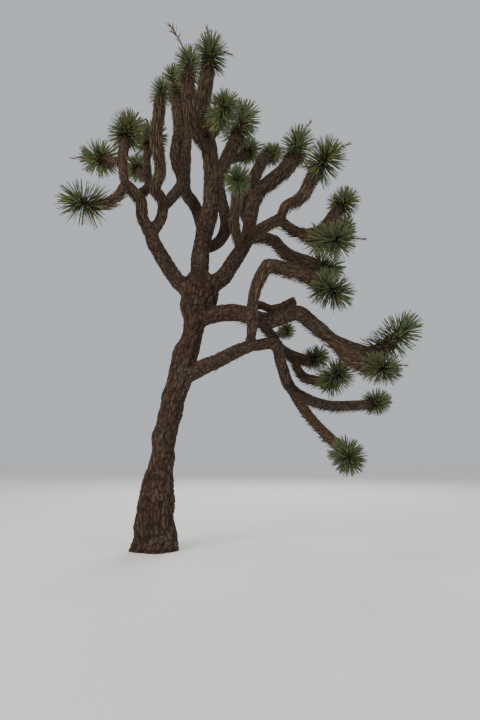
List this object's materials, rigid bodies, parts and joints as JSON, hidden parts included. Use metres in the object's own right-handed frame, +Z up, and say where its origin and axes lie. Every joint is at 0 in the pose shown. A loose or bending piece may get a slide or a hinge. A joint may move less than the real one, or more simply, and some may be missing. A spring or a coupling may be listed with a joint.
{
  "type": "joshua tree",
  "caption": "Tall leaning joshua tree with a fibrous trunk, crooked forked boughs and a ball of stiff dagger leaves on each tip, standing on a flat cut foot.",
  "frame": {"origin": "middle of the flat cut under the trunk, at ground level", "axes": "+Z up the tree; +X towards the side that the trunk leans to, which is to the right in the usual view; +Y away from the viewer in that view"},
  "size_m": [5.1229, 3.7886, 7.8816],
  "materials": {
    "bark": "rough furrowed grey-brown bark, shaggy with dead leaves on the boughs",
    "leaves": "stiff waxy grey-green dagger leaves with tan margins"
  },
  "bodies": {
    "root": {"trunk": "bark", "bough_left": "bark", "limb_left_low": "bark", "limb_left_high": "bark", "limb_left_inner": "bark", "limb_left_tall": "bark", "limb_top_left": "bark", "bough_middle": "bark", "limb_top_back": "bark", "limb_top_middle": "bark", "limb_middle_right": "bark", "bough_right": "bark", "limb_right_up": "bark", "limb_right_inner": "bark", "limb_right_low": "bark", "limb_right_fork": "bark", "limb_right_raised": "bark", "limb_right_swept": "bark", "bough_level": "bark", "limb_level_under": "bark", "limb_stub": "bark", "bough_low": "bark", "limb_arch_rise": "bark", "limb_arch_reach": "bark", "limb_low_drop": "bark", "limb_low_hang": "bark", "limb_low_side": "bark", "limb_low_back": "bark", "rosette_left_tip": "leaves", "rosette_left_side": "leaves", "rosette_left_top": "leaves", "rosette_left_back": "leaves", "rosette_inner_left": "leaves", "rosette_tall_left": "leaves", "rosette_top_left": "leaves", "rosette_top_stalk": "leaves", "rosette_top_right": "leaves", "rosette_top_back": "leaves", "rosette_upper_left": "leaves", "rosette_upper_right": "leaves", "rosette_upper_back": "leaves", "rosette_front": "leaves", "rosette_right_high": "leaves", "rosette_right_inner": "leaves", "rosette_right_raised": "leaves", "rosette_right_swept": "leaves", "rosette_right_stalk": "leaves", "rosette_right_mid": "leaves", "rosette_right_low": "leaves", "rosette_arch": "leaves", "rosette_level_tip": "leaves", "rosette_level_under": "leaves", "rosette_low_side": "leaves", "rosette_low_back": "leaves", "rosette_low_small": "leaves", "rosette_low_drop": "leaves", "rosette_low_hang": "leaves"}
  },
  "joints": []
}
